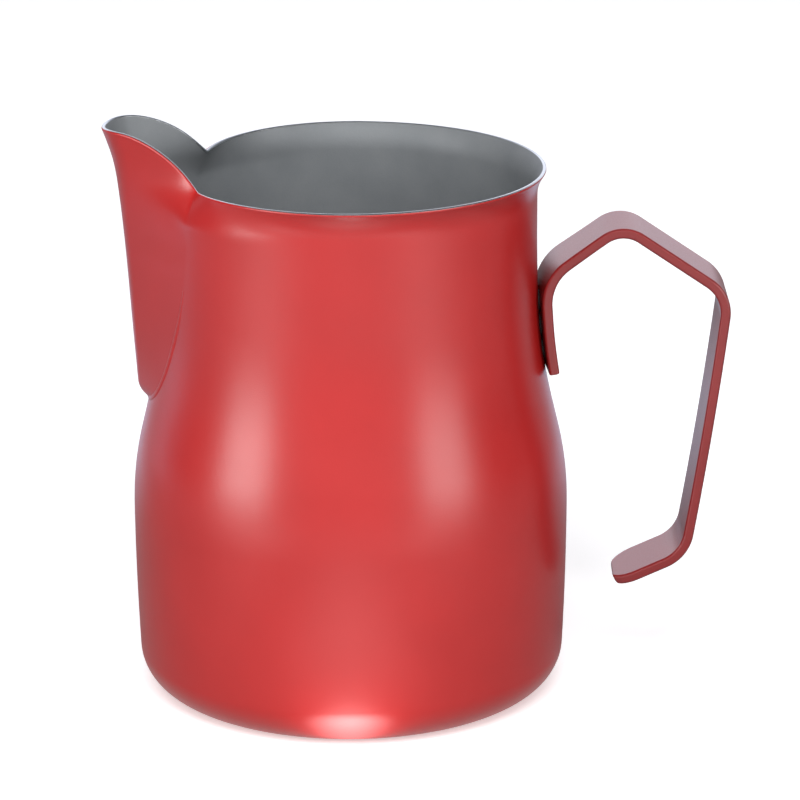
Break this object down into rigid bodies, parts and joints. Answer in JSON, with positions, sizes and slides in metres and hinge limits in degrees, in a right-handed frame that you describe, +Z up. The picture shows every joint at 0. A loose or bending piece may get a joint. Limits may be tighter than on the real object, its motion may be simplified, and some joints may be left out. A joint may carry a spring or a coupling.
{
  "type": "milk frothing pitcher",
  "caption": "Necked, flat-bottomed steel frothing pitcher with a flared lip, a sharp welded pouring spout and a flat bent strap handle with a free lower end.",
  "frame": {"origin": "centre of the flat ring that the pot stands on", "axes": "+Z up along the pot's axis, +X towards the handle, -X towards the spout; y = 0 is the mirror plane"},
  "size_m": [0.1251, 0.088, 0.1164],
  "materials": {
    "coated_steel": "satin",
    "bare_steel": "matte"
  },
  "bodies": {
    "root": {"vessel_body": "coated_steel", "spout": "coated_steel", "handle": "coated_steel", "spout_weld_seam": "coated_steel", "handle_spot_welds": "bare_steel"}
  },
  "joints": []
}
